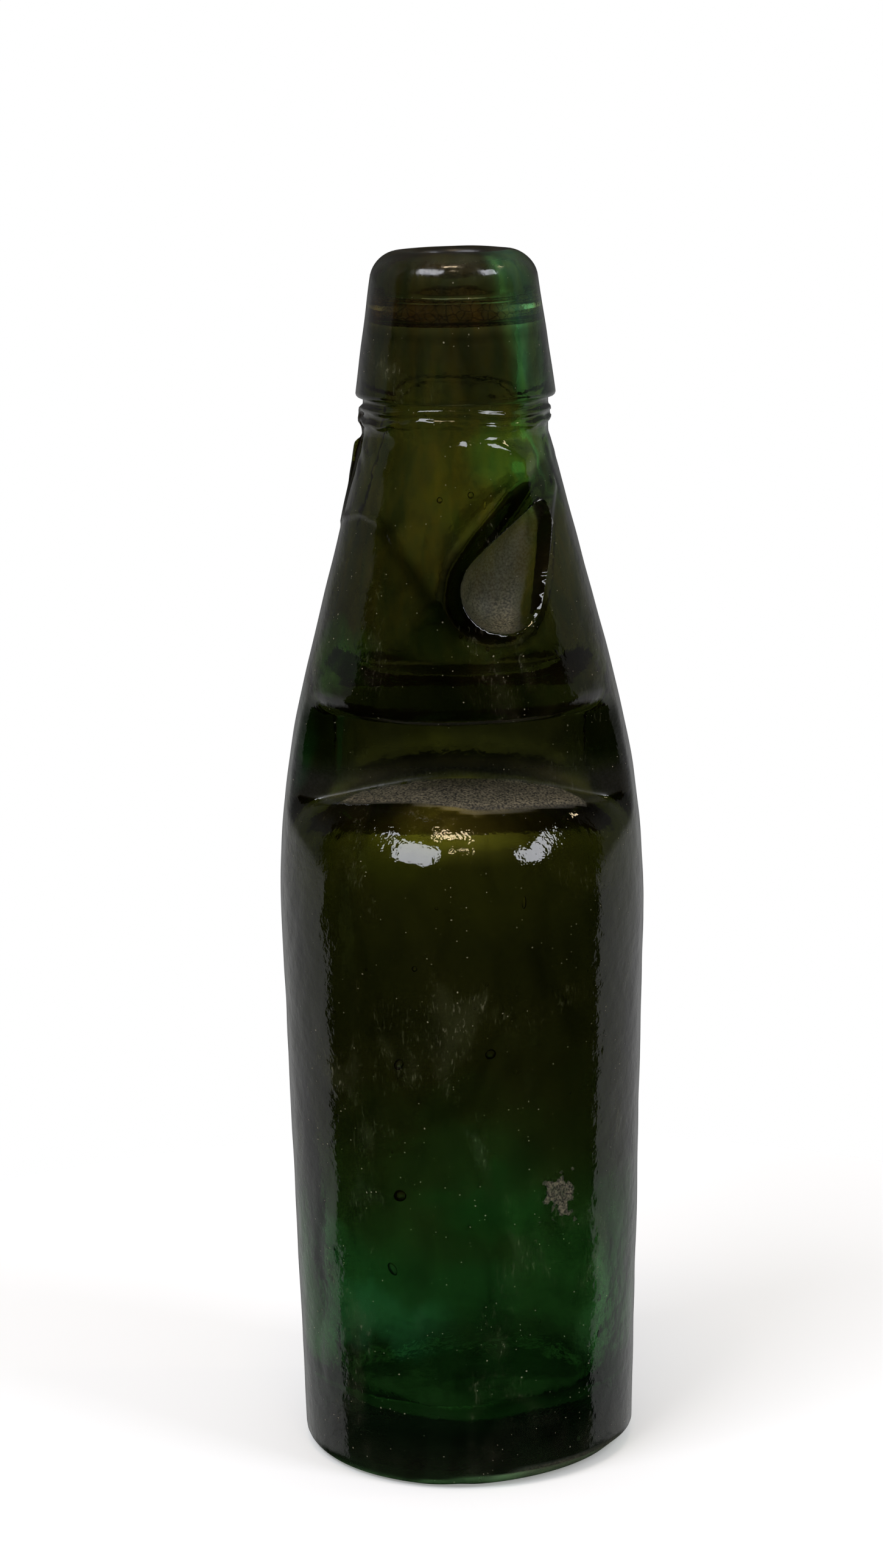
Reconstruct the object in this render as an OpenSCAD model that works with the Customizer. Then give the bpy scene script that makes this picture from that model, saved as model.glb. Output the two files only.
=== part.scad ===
// Marble stopper bottle. A glass marble, caught for good above a pinched
// waist, is pushed up against a rubber ring in the lip and closes the bottle.
// Millimetres. The origin is the centre of the base, +Z is up, and the two
// flat faces of the pinch look along -Y and +Y.

/* [Body] */
// Radius of the foot, where the side run straight down would meet the ground
heel_r = 26; // [24.5:0.1:27.5]
// Rounding of the heel
heel_round = 2.4; // [1:0.1:4]
// Radius at which the side and the neck's cone would meet, unrounded
shoulder_r = 28.7; // [27.5:0.1:31]
// Height at which the side and the neck's cone would meet, unrounded
shoulder_h = 104.5; // [100:0.5:109]
// Radius of the long curve between the side and the neck's cone
shoulder_round = 145; // [80:5:170]
// Thickness of the glass in the side and the pinch
wall = 4.6; // [3.4:0.1:5]
// Thickness of the glass in the base
base_t = 11.5; // [7:0.5:16]
// Rounding inside, where the side meets the base
floor_round = 9; // [3:0.5:12]
// Depth of the hollow under the base
push_up = 2.5; // [1:0.1:5]
// Radius of the hollow under the base
push_up_r = 20; // [14:0.5:20.5]

/* [Heel chip] */
// Direction of the chip, turned from the pinch's front face towards +X
chip_turn = 40; // [20:1:70]
// Height of the chip on the side
chip_h = 2.9; // [2:0.1:4]
// How far the chip runs in from the side, on the ground
chip_in = 3.2; // [2.6:0.1:4]
// How much flatter the chip's curve is than the heel's, as a larger radius
chip_flat = 4; // [2:0.5:10]

/* [Pinch] */
// Half the thickness of the bottle across the pinch
pinch_y = 10.4; // [9.6:0.1:12]
// Height of the pinch's ledge over the meeting of the side and the cone
ledge_up = 4.5; // [2:0.5:7]
// How far the ledge falls from the pinch's face to the rim
ledge_drop = 4; // [2.5:0.25:5]
// Rounding of the ledge's rim
ledge_round = 11; // [6:0.5:12]
// Height of the pinch's face, from the ledge to the chamber's underside
pinch_l = 10; // [7:0.5:13]
// Rounding of the chamber's lower rim
overhang_round = 3; // [1:0.25:4]
// Half the width of the slot through the pinch
slot_y = 5.8; // [5:0.1:6.4]
// Rounding of the slot's edges, on which the marble rests
slot_round = 2.5; // [1:0.25:3]

/* [Neck] */
// Radius of the neck under the lip
neck_r = 14.1; // [13.6:0.1:15]
// Height of the neck's cone, from its meeting with the side
cone_l = 56; // [50:0.5:62]
// Height of the straight collar between the cone and the lip
collar_l = 5.5; // [4:0.1:8]
// Radius of the neck's end, which the lip is wound around
spigot_r = 11.6; // [11:0.1:12.4]
// Length of the neck's end inside the lip
spigot_l = 5.5; // [3:0.1:7]
// Radius of the two laps of glass left under the lip
lap_r = 0.6; // [0.4:0.05:0.8]

/* [Lugs] */
// Turn of each lug's round foot from the pinch's face towards +X
lug_foot_turn = 20; // [15:1:27]
// Height of each lug's round foot over the chamber's underside
lug_foot_up = 19.5; // [18:0.5:22]
// Turn of each lug's pointed tip
lug_tip_turn = 65; // [58:1:68]
// Height of each lug's pointed tip over the chamber's underside
lug_tip_up = 34; // [30:0.5:36]
// Radius of the hollow pressed into the neck at the foot
lug_r = 5.9; // [4.5:0.1:6.2]
// Radius of the hollow at the tip
lug_tip_r = 1; // [0.5:0.1:1.5]
// Depth of the hollow's centre line under the neck's surface
lug_sink = 1; // [0.5:0.1:1.5]
// Thickness of the glass behind the hollow
lug_wall = 3.4; // [2.6:0.1:3.8]

/* [Lip] */
// Height of the lip
lip_l = 22; // [20:0.5:26]
// Radius of the lip's lower corner
lip_r = 15.3; // [14.8:0.1:16.5]
// Radius at which the lip's side would meet its top, unrounded
lip_top_r = 12.1; // [11.8:0.1:13]
// Rounding of the lip's lower corner
lip_round = 0.7; // [0.3:0.1:0.8]
// Rounding of the lip's top, outside
lip_top_round = 3.9; // [2:0.1:4]
// Radius of the mouth
mouth_r = 7; // [6.8:0.1:7.2]
// Rounding of the mouth's edge
mouth_round = 1.4; // [0.5:0.1:1.5]
// Room between the lip and the neck's end
lip_fit = 0.05; // [0.02:0.01:0.1]

/* [Ring] */
// Depth of the ring's middle below the top of the lip
ring_drop = 9; // [8:0.1:9.5]
// Radius of the ring's cord
ring_cord_r = 2.2; // [2:0.1:2.4]
// Radius of the circle along the middle of the ring's cord
ring_r = 8.75; // [8.6:0.05:9]
// Room between the ring and its groove
ring_fit = 0.05; // [0.02:0.01:0.1]

/* [Marble] */
// Radius of the marble
marble_r = 8; // [7.6:0.1:8.2]
// Room around the marble in the neck's bore
marble_room = 0.7; // [0.5:0.1:1]
// Gap between the marble and what stops it
stop_gap = 0.3; // [0.1:0.05:0.5]

/* [Hidden] */
$fn = 96;

// Flat pieces along each rounded corner of an outline
corner_steps = 10;
// Flat pieces along the long shoulder curve
shoulder_steps = 16;
// Reach of a cut past the surface that it opens
past = 1;
// A radius outside the whole bottle
clear_r = 40;

// Lift of a rim's rounding off the glass where it runs out
rim_lift = 0.3;

bore_r = marble_r + marble_room;

// Heights over the ground, each built up on the one below it
ledge_h = shoulder_h + ledge_up;
overhang_h = ledge_h + pinch_l;
cone_h = shoulder_h + cone_l;
seat_h = cone_h + collar_l;
spigot_h = seat_h + spigot_l;
total_h = seat_h + lip_l;
ring_h = total_h - ring_drop;
lug_foot_h = overhang_h + lug_foot_up;
lug_tip_h = overhang_h + lug_tip_up;
lower_roof_h = ledge_h - wall;
chamber_floor_h = overhang_h + wall;

// Place at which the marble rests on the two edges of the slot
marble_rest_h = chamber_floor_h - slot_round
    + sqrt(pow(marble_r + slot_round + stop_gap, 2) - pow(slot_y + slot_round, 2));
// Place at which the marble closes the ring
marble_shut_h = ring_h - sqrt(pow(marble_r + ring_cord_r + stop_gap, 2) - pow(ring_r, 2));
echo(marble_rest_h = marble_rest_h, marble_travel = marble_shut_h - marble_rest_h);

function unit(v) = v / norm(v);

// Arc that rounds corner b between a and c, in steps flat pieces
function corner(a, b, c, r, steps) =
    let (
        u = unit(a - b),
        v = unit(c - b),
        half = acos(u * v) / 2,
        centre = b + unit(u + v) * r / sin(half),
        p = b + u * r / tan(half) - centre,
        q = b + v * r / tan(half) - centre,
        from = atan2(p.y, p.x),
        turn = atan2(q.y, q.x) - from,
        sweep = turn > 180 ? turn - 360 : turn < -180 ? turn + 360 : turn
    )
    [for (i = [0:steps]) centre + r * [cos(from + sweep * i / steps), sin(from + sweep * i / steps)]];

// Outline through the points [x, y, rounding, steps], with each corner rounded
function outline(pts) = [
    for (i = [0:len(pts) - 1])
        let (
            n = len(pts),
            here = [pts[i].x, pts[i].y],
            before = [pts[(i + n - 1) % n].x, pts[(i + n - 1) % n].y],
            after = [pts[(i + 1) % n].x, pts[(i + 1) % n].y]
        )
        each pts[i][2] == 0 ? [here] : corner(before, here, after, pts[i][2], pts[i][3])
];

// Radius of the straight side, and of the neck's cone, at height h
function side_r(h) = heel_r + (shoulder_r - heel_r) * h / shoulder_h;
function cone_r(h) = neck_r + (shoulder_r - neck_r) * (cone_h - h) / (cone_h - shoulder_h);
function cone_height(r) = cone_h - (r - neck_r) * (cone_h - shoulder_h) / (shoulder_r - neck_r);

// The shoulder's curve, as points of the outline
shoulder = corner([heel_r, 0], [shoulder_r, shoulder_h], [neck_r, cone_h], shoulder_round, shoulder_steps);

// Radius of the glass's outside at height h, from the heel to the neck
function skin_r(h) =
    h < shoulder[0].y ? side_r(h)
    : h > shoulder[shoulder_steps].y ? cone_r(h)
    : lookup(h, [for (p = shoulder) [p.y, p.x]]);

// Point at radius r and height h, turned from the pinch's front face
function around(r, turn, h) = [r * sin(turn), -r * cos(turn), h];

// Outside of the blown glass, with no pinch yet
module outside() {
    rotate_extrude()
        polygon(outline([
            [0, 0, 0],
            [heel_r, 0, heel_round, corner_steps],
            [shoulder_r, shoulder_h, shoulder_round, shoulder_steps],
            [neck_r, cone_h, 0],
            [neck_r, seat_h, 0],
            [spigot_r, seat_h, 0],
            [spigot_r, spigot_h, 0],
            [0, spigot_h, 0],
        ]));
    for (h = [cone_h + lap_r, seat_h - 2 * lap_r])
        translate([0, 0, h])
            rotate_extrude()
                translate([neck_r, 0])
                    circle(lap_r);
}

// Inside of the blown glass, with no pinch yet
module inside() {
    rotate_extrude()
        polygon(outline([
            [0, base_t, 0],
            [side_r(base_t) - wall, base_t, floor_round, corner_steps],
            [shoulder_r - wall, shoulder_h, shoulder_round - wall, shoulder_steps],
            [bore_r, cone_height(bore_r + wall), 0],
            [bore_r, spigot_h + past, 0],
            [0, spigot_h + past, 0],
        ]));
}

// Space between the ledge and the chamber's underside, all round
module waist(ledge, ceiling) {
    rim_h = ledge - ledge_drop;
    rim_r = skin_r(rim_h);
    fall = ledge_drop / (rim_r - pinch_y);
    low_h = rim_h - 2 * ledge_round;
    high_h = ceiling + 2 * overhang_round;
    rotate_extrude()
        polygon(outline([
            [0, ledge + fall * pinch_y, 0],
            [rim_r, rim_h, ledge_round, corner_steps],
            [skin_r(low_h) + rim_lift, low_h, 0],
            [clear_r, low_h, 0],
            [clear_r, high_h, 0],
            [skin_r(high_h) + rim_lift, high_h, 0],
            [skin_r(ceiling), ceiling, overhang_round, corner_steps],
            [0, ceiling, 0],
        ]));
}

// Slab along X through the pinch, of half thickness half_y
module slab(half_y, bottom, top) {
    translate([-clear_r, -half_y, bottom])
        cube([2 * clear_r, 2 * half_y, top - bottom]);
}

// Slot along X through the pinch's glass, its upper edges rounded for the marble
module slot() {
    bottom = lower_roof_h - ledge_drop - past;
    lip_y = slot_y + slot_round + past;
    rotate([90, 0, 90])
        linear_extrude(2 * clear_r, center = true)
            for (side = [0, 1])
                mirror([side, 0])
                    polygon(outline([
                        [0, bottom, 0],
                        [slot_y, bottom, 0],
                        [slot_y, chamber_floor_h, slot_round, corner_steps],
                        [lip_y, chamber_floor_h, 0],
                        [lip_y, chamber_floor_h + past, 0],
                        [0, chamber_floor_h + past, 0],
                    ]));
}

// Part of a circle of radius r about [0, h], between two angles
function arc(r, h, from, to) = [
    for (i = [0:corner_steps])
        let (a = from + (to - from) * i / corner_steps)
        [r * cos(a), h + r * sin(a)]
];

// Tapered drop along a lug, a ball run out to a smaller one, grown by grow
module drop(grow) {
    foot = around(skin_r(lug_foot_h) - lug_sink, lug_foot_turn, lug_foot_h);
    tip = around(skin_r(lug_tip_h) - lug_sink, lug_tip_turn, lug_tip_h);
    along = tip - foot;
    far = norm(along);
    big = lug_r + grow;
    small = lug_tip_r + grow;
    lean = asin((big - small) / far);
    translate(foot)
        rotate([0, acos(along.z / far), atan2(along.y, along.x)])
            rotate_extrude()
                polygon(concat(arc(big, 0, -90, lean), arc(small, far, lean, 90)));
}

// The pair of lugs, one on each side of +X
module drops(grow) {
    drop(grow);
    mirror([0, 1, 0])
        drop(grow);
}

// Shallow flake lost from the heel: what stands out of a wider cone, set back
module chip() {
    side = skin_r(chip_h) + chip_flat;
    ground = heel_r - chip_in + chip_flat;
    translate(around(-chip_flat, chip_turn, 0))
        difference() {
            translate([0, 0, -past])
                cylinder(h = chip_h + past, r = clear_r);
            translate([0, 0, -past])
                cylinder(
                    h = chip_h + 2 * past,
                    r1 = ground - past * (side - ground) / chip_h,
                    r2 = side + past * (side - ground) / chip_h
                );
        }
}

module bottle_body() {
    hollow_ball = (pow(push_up_r, 2) + pow(push_up, 2)) / (2 * push_up);
    color("#2c3414")
        difference() {
            outside();
            // The pinch's two recesses
            difference() {
                waist(ledge_h, overhang_h);
                slab(pinch_y, ledge_h - ledge_drop - 2 * ledge_round - past, overhang_h + 2 * overhang_round + past);
            }
            // The cavity, with the pinch's glass and the lugs left standing in it
            difference() {
                inside();
                difference() {
                    waist(lower_roof_h, chamber_floor_h);
                    slot();
                }
                drops(lug_wall);
            }
            drops(0);
            chip();
            translate([0, 0, push_up - hollow_ball])
                sphere(hollow_ball);
        }
}

module applied_lip() {
    color("#39401a")
        difference() {
            rotate_extrude()
                polygon(outline([
                    [spigot_r + lip_fit, seat_h, 0],
                    [lip_r, seat_h, lip_round, corner_steps],
                    [lip_top_r, total_h, lip_top_round, corner_steps],
                    [mouth_r, total_h, mouth_round, corner_steps],
                    [mouth_r, ring_h, 0],
                    [bore_r, ring_h, 0],
                    [bore_r, spigot_h, 0],
                    [spigot_r + lip_fit, spigot_h, 0],
                ]));
            translate([0, 0, ring_h])
                rotate_extrude()
                    translate([ring_r, 0])
                        circle(ring_cord_r + ring_fit);
        }
}

module rubber_ring() {
    color("#6b4a2a")
        translate([0, 0, ring_h])
            rotate_extrude()
                translate([ring_r, 0])
                    circle(ring_cord_r);
}

module marble() {
    color("#7fb49a")
        translate([0, 0, marble_rest_h])
            sphere(marble_r);
}

bottle_body();
applied_lip();
rubber_ring();
marble();
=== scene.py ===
import math

import bpy
import numpy as np
from mathutils import Matrix, Vector


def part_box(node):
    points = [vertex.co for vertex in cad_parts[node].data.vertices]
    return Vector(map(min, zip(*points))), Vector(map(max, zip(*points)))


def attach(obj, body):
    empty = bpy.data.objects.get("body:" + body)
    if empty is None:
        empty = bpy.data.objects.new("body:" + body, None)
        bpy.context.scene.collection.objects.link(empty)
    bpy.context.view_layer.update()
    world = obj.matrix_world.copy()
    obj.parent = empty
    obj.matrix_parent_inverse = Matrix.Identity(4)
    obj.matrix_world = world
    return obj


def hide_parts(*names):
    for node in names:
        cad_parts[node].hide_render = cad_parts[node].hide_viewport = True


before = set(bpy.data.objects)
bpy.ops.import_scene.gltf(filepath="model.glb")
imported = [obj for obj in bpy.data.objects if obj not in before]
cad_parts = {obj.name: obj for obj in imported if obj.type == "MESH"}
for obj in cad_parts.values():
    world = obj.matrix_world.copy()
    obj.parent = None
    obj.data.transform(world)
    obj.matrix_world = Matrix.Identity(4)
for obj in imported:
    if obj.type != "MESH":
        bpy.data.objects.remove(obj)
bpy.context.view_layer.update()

# The bottle. The real one is thick dark green glass, blown in a mould that
# pinches its waist, with a lip of the same melt wound on and tooled while
# both are hot, so body and lip are one piece of glass. Sizes are millimetres.
MM = 0.001

HEEL_R = 26.0
HEEL_ROUND = 2.4
SHOULDER_R = 28.7
SHOULDER_Z = 104.5
SHOULDER_EASE = 5.9
NECK_R = 14.1
CONE_Z = 160.5
WALL = 4.6
FLOOR_Z = 9.0
FLOOR_ROUND = 6.5
PUSH_UP = 2.5
PUSH_UP_R = 20.0
PUSH_UP_ROUND = 1.0

PINCH_Y = 10.4
LEDGE_Z = 109.0
LEDGE_FALL = 0.235
LEDGE_ROUND = 11.0
LEDGE_ROUND_RUN = 13.0
OVERHANG_Z = 119.0
OVERHANG_ROUND = 4.2
PINCH_FILLET = 0.7
SLOT_Y = 5.8
SLOT_ROUND = 2.5
INSIDE_FILLET = 3.0
# The waist of the inner space: its radius, height and half its length.
PINCH_INSIDE = (19.6, 114.0, 7.0)

CHIP_TURN = 40.0
CHIP_H = 2.9
CHIP_IN = 3.2
CHIP_FLAT = 4.0
CHIP_EDGE = 0.15

# Turn and height of each lug's round foot and pointed tip.
LUG_FOOT = (20.0, 138.5)
LUG_TIP = (65.0, 153.0)
LUG_R = 5.9
LUG_TIP_R = 1.0
LUG_SINK = 1.0
LUG_WALL = 2.6
LUG_FILLET = 1.4
LUG_EDGE = 0.4
LUG_BEAD = 0.3

SEAT_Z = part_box("applied_lip")[0].z / MM
TOP_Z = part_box("applied_lip")[1].z / MM
LIP_R = 15.3
LIP_TOP_R = 12.1
LIP_ROUND = 0.7
LIP_TOP_ROUND = 3.9
LIP_FILLET = 0.3
NECK_IN_LIP = 4.0
LAP_R = 0.5
LAPS_Z = (162.7, 164.4)
LAP_FILLET = 0.3
RIDGE_TURN = -90.0
RIDGE_Z = (147.0, 164.0)
RIDGE_R = 0.65
RIDGE_FILLET = 0.5
MOUTH_R = 7.0
MOUTH_ROUND = 1.4
RING_Z = sum(corner.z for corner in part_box("rubber_ring")) / 2 / MM
RING_FIT = 0.05
GROOVE_CORD_R = (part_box("rubber_ring")[1].z / MM - RING_Z) + RING_FIT
GROOVE_R = 8.75
BORE_R = 8.7
# Reach of a cut past the surface that it opens.
PAST = 1.0


def cut_round(a, b, r):
    """Depth in what lies in both a and b, with the edge between them rounded to radius r."""
    return np.minimum(np.maximum(a, b), -r) + np.hypot(np.maximum(a + r, 0), np.maximum(b + r, 0))


def join_round(a, b, r):
    """Depth in what lies in a or b, with the corner between them filled to radius r."""
    return -cut_round(-a, -b, r)


def around(r, turn, z):
    """Point at radius r and height z, turned in degrees from the pinch's front face."""
    return np.array([r * math.sin(math.radians(turn)), -r * math.cos(math.radians(turn)), z])


def skin_r(z):
    """Radius of the blown glass: the side's cone and the neck's, eased into each other, then the collar."""
    side = HEEL_R + (SHOULDER_R - HEEL_R) * z / SHOULDER_Z
    neck = NECK_R + (SHOULDER_R - NECK_R) * (CONE_Z - z) / (CONE_Z - SHOULDER_Z)
    near = np.clip(1 - np.abs(side - neck) / SHOULDER_EASE, 0, None)
    return np.maximum(np.minimum(side, neck) - near * near * SHOULDER_EASE / 4, NECK_R)


def lug_depth(p):
    """Distance to the tapered drop that each lug's hollow is the print of, the same front and back."""
    q = np.stack([p[..., 0], -np.abs(p[..., 1]), p[..., 2]], axis=-1)
    foot = around(skin_r(LUG_FOOT[1]) - LUG_SINK, *LUG_FOOT)
    tip = around(skin_r(LUG_TIP[1]) - LUG_SINK, *LUG_TIP)
    along = tip - foot
    far = np.linalg.norm(along)
    along = along / far
    taper = (LUG_R - LUG_TIP_R) / far
    t = (q - foot) @ along
    off = np.linalg.norm(q - foot - t[..., None] * along, axis=-1)
    t = np.clip((t - off * taper / math.sqrt(1 - taper ** 2)) / far, 0, 1)
    r = LUG_R + (LUG_TIP_R - LUG_R) * t
    return np.linalg.norm(q - foot - (t * far)[..., None] * along, axis=-1) - r


def outside(p):
    """Depth under the glass's outer surface, negative in the glass and in what it holds."""
    x, y, z = p[..., 0], p[..., 1], p[..., 2]
    r = np.hypot(x, y)
    blown = r - skin_r(z)
    blown = cut_round(blown, -z, HEEL_ROUND)

    set_back = around(-CHIP_FLAT, CHIP_TURN, 0)
    chip_top, chip_foot = skin_r(CHIP_H) + CHIP_FLAT, HEEL_R - CHIP_IN + CHIP_FLAT
    chip = np.hypot(x - set_back[0], y - set_back[1]) - (chip_foot + (chip_top - chip_foot) * z / CHIP_H)
    # The chip's face is a cone, and 0.66 is the cosine of its lean.
    blown = cut_round(blown, chip * 0.66, CHIP_EDGE)

    ball = (PUSH_UP_R ** 2 + PUSH_UP ** 2) / (2 * PUSH_UP)
    blown = cut_round(blown, ball - np.linalg.norm(p - [0, 0, PUSH_UP - ball], axis=-1), PUSH_UP_ROUND)

    over_ledge = LEDGE_Z - LEDGE_FALL * (r - PINCH_Y) - z
    recess = cut_round(over_ledge, z - OVERHANG_Z, PINCH_FILLET)
    recess = cut_round(recess, PINCH_Y - np.abs(y), PINCH_FILLET)
    low = np.clip((OVERHANG_Z - z) / (OVERHANG_Z - LEDGE_Z), 0, 1)
    out = np.clip((np.abs(y) - PINCH_Y) / LEDGE_ROUND_RUN, 0, 1)
    low = low * out * out * (3 - 2 * out)
    blown = cut_round(blown, -recess, OVERHANG_ROUND + (LEDGE_ROUND - OVERHANG_ROUND) * low)

    drop = lug_depth(p)
    bead = np.hypot(blown, drop) - LUG_BEAD
    blown = join_round(cut_round(blown, -drop, LUG_EDGE), bead, LUG_EDGE)

    turn = np.arctan2(x, -y)
    for lap_z, wave in zip(LAPS_Z, (3, 2)):
        sway = 0.35 * np.sin(wave * turn + 2.4) + 0.2 * np.sin(5 * turn + wave)
        sway += 0.15 * np.cos(17 * turn) * (wave - 2)
        lap = np.hypot(r - NECK_R, z - lap_z - sway) - LAP_R * (1 + 0.2 * sway)
        blown = join_round(blown, lap, LAP_FILLET)
    ridge_foot, ridge_top = (around(skin_r(h), RIDGE_TURN, h) for h in RIDGE_Z)
    along = ridge_top - ridge_foot
    t = np.clip((p - ridge_foot) @ along / (along @ along), 0, 1)[..., None]
    ridge = np.linalg.norm(p - ridge_foot - t * along, axis=-1) - RIDGE_R * (0.3 + 0.7 * t[..., 0])
    blown = join_round(blown, ridge, RIDGE_FILLET)

    blown = np.maximum(blown, z - SEAT_Z - NECK_IN_LIP)
    lip = r - LIP_R + (LIP_R - LIP_TOP_R) * (z - SEAT_Z) / (TOP_Z - SEAT_Z)
    lip = cut_round(cut_round(lip, SEAT_Z - z, LIP_ROUND), z - TOP_Z, LIP_TOP_ROUND)
    glass = join_round(blown, lip, LIP_FILLET)
    mouth = np.maximum(r - MOUTH_R, RING_Z + PAST - z)
    return cut_round(glass, -mouth, MOUTH_ROUND)


def hollow(p):
    """Depth in the hollow that the glass encloses, negative in it: body, slot, chamber, neck and mouth."""
    y, z = p[..., 1], p[..., 2]
    r = np.hypot(p[..., 0], y)
    space = cut_round(r - np.maximum(skin_r(z) - WALL, BORE_R), FLOOR_Z - z, FLOOR_ROUND)

    roof = (LEDGE_Z - WALL) - LEDGE_FALL * (r - PINCH_Y) - z
    pinch = cut_round(roof, z - (OVERHANG_Z + WALL), SLOT_ROUND)
    pinch = cut_round(pinch, SLOT_Y - np.abs(y), SLOT_ROUND)
    narrow_r, narrow_z, narrow_half = PINCH_INSIDE
    narrow = (r - narrow_r) * 0.75 - np.maximum(np.abs(z - narrow_z) - narrow_half, 0) * 0.7
    space = cut_round(space, narrow, INSIDE_FILLET)
    space = cut_round(space, -pinch, INSIDE_FILLET + 3 * np.clip((z - OVERHANG_Z) / WALL, 0, 1))
    space = cut_round(space, LUG_WALL - lug_depth(p), LUG_FILLET)

    space = np.maximum(space, z - RING_Z)
    mouth = np.maximum(r - MOUTH_R, RING_Z - PAST - z)
    groove = np.hypot(r - GROOVE_R, z - RING_Z) - GROOVE_CORD_R
    return np.minimum(np.minimum(space, mouth), groove)


def slope(depth, p, reach=0.02):
    """Which way and how fast depth grows at the points p, from four samples round each."""
    corners = np.array([[1, -1, -1], [-1, -1, 1], [-1, 1, -1], [1, 1, 1]]) * reach
    return sum(depth(p + c)[..., None] * c for c in corners) / (4 * reach ** 2)


def settle(depth, p, rounds):
    """Moves the points p on to the surface where depth is nothing, by its slope, 0.8 mm a round at most."""
    for _ in range(rounds):
        rise = slope(depth, p)
        step = depth(p)[..., None] * rise / np.maximum((rise ** 2).sum(-1, keepdims=True), 0.2)
        length = np.linalg.norm(step, axis=-1, keepdims=True)
        p = p - step * np.minimum(1, 0.8 / np.maximum(length, 1e-9))
    return p


def march(depth, p, way, rounds):
    """Moves the points p along way until depth is nothing, four fifths of it a round."""
    for _ in range(rounds):
        p = p + way * depth(p)[..., None] * 0.8
    return p


def relax(depth, p, rounds):
    """Evens out the grid of points p along the surface, and keeps it on the surface."""
    for _ in range(rounds):
        spread = (np.roll(p, 1, 1) + np.roll(p, -1, 1)) / 4
        spread[1:-1] += (p[2:] + p[:-2]) / 4 - p[1:-1]
        spread[0] = spread[-1] = 0
        rise = slope(depth, p)
        rise /= np.maximum(np.linalg.norm(rise, axis=-1, keepdims=True), 1e-6)
        spread -= (spread * rise).sum(-1, keepdims=True) * rise
        p = settle(depth, p + spread * 0.6, 1)
    return p


def rows_along(path, rows):
    """The given number of points, evenly spaced, along each column's own path of [r, z] points."""
    steps = np.hypot(np.diff(path[0], axis=0), np.diff(path[1], axis=0))
    run = np.concatenate([np.zeros((1, steps.shape[1])), np.cumsum(steps, axis=0)])
    marks = np.linspace(0, 1, rows + 1)[:-1]
    out = np.empty((2, rows, run.shape[1]))
    for i in range(run.shape[1]):
        for k in (0, 1):
            out[k, :, i] = np.interp(marks * run[-1, i], run[:, i], path[k][:, i])
    return out


def lay_grid(stretches, turns):
    """Points on the columns at turns, along stretches of (rows, path); a path's points are (r, z)."""
    parts = []
    for rows, path in stretches:
        full = [np.array([np.broadcast_to(np.asarray(q[k], float), turns.shape) for q in path])
                for k in (0, 1)]
        parts.append(rows_along(full, rows))
    r, z = np.concatenate(parts, axis=1)
    a = np.radians(turns)
    return np.stack([r * np.sin(a), -r * np.cos(a), z], axis=-1)


def column_turns():
    """Turn of each column, close together over the two lugs, where the surface has most to show."""
    spans = ((-8, 76, 100), (76, 104, 14), (104, 188, 50), (188, 268, 26), (268, 352, 66))
    return np.concatenate([np.linspace(a, b, n, endpoint=False) for a, b, n in spans])


def skin_path(low, high, inset, n):
    """The skin from height low to high, set in by inset, as n + 1 points."""
    return [(skin_r(z) - inset, z) for z in np.linspace(low, high, n + 1)]


# The outer surface, from the middle of the base up and over the lip into the mouth. Each stretch has its
# number of rows, and the rough path on which they start before they are moved on to the surface.
turns = column_turns()
outer_wall = np.minimum(PINCH_Y / np.maximum(np.abs(np.cos(np.radians(turns))), 1e-3), skin_r(112.0) - 0.3)
ledge_z = LEDGE_Z - LEDGE_FALL * (outer_wall - PINCH_Y)
mouth_rim = MOUTH_R + MOUTH_ROUND
lip_side = LIP_R - (LIP_R - LIP_TOP_R) * (TOP_Z - LIP_TOP_ROUND - SEAT_Z) / (TOP_Z - SEAT_Z)
outer = lay_grid([
    (11, [(0.2, PUSH_UP), (PUSH_UP_R, 0.2), (HEEL_R - HEEL_ROUND, 0)]),
    (9, [(HEEL_R - HEEL_ROUND, 0), (HEEL_R, 0), (skin_r(3.5), 3.5)]),
    (48, skin_path(3.5, 88, 0, 4)),
    (88, skin_path(88, 102, 0, 3) + [(outer_wall, ledge_z), (outer_wall, OVERHANG_Z)]
     + skin_path(119.5, 127, 0, 3)),
    (70, skin_path(127, CONE_Z, 0, 3)),
    (16, [(NECK_R, CONE_Z), (NECK_R, SEAT_Z)]),
    (8, [(NECK_R, SEAT_Z), (LIP_R, SEAT_Z), (LIP_R - 0.2, SEAT_Z + 1.4)]),
    (16, [(LIP_R - 0.2, SEAT_Z + 1.4), (lip_side, TOP_Z - LIP_TOP_ROUND)]),
    (12, [(lip_side, TOP_Z - LIP_TOP_ROUND), (LIP_TOP_R - 1, TOP_Z - 0.7), (mouth_rim, TOP_Z)]),
    (6, [(mouth_rim, TOP_Z), (MOUTH_R, TOP_Z), (MOUTH_R, TOP_Z - MOUTH_ROUND)]),
], turns)
on_neck = (outer[..., 2] > 126) & (outer[..., 2] < CONE_Z)
inward = -outer * [1, 1, 0]
inward /= np.linalg.norm(inward, axis=-1, keepdims=True)
outer[on_neck] = march(outside, outer[on_neck], inward[on_neck], 40)
outer = settle(outside, outer, 12)
outer = relax(outside, outer, 16)
outer = settle(outside, outer, 3)

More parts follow.
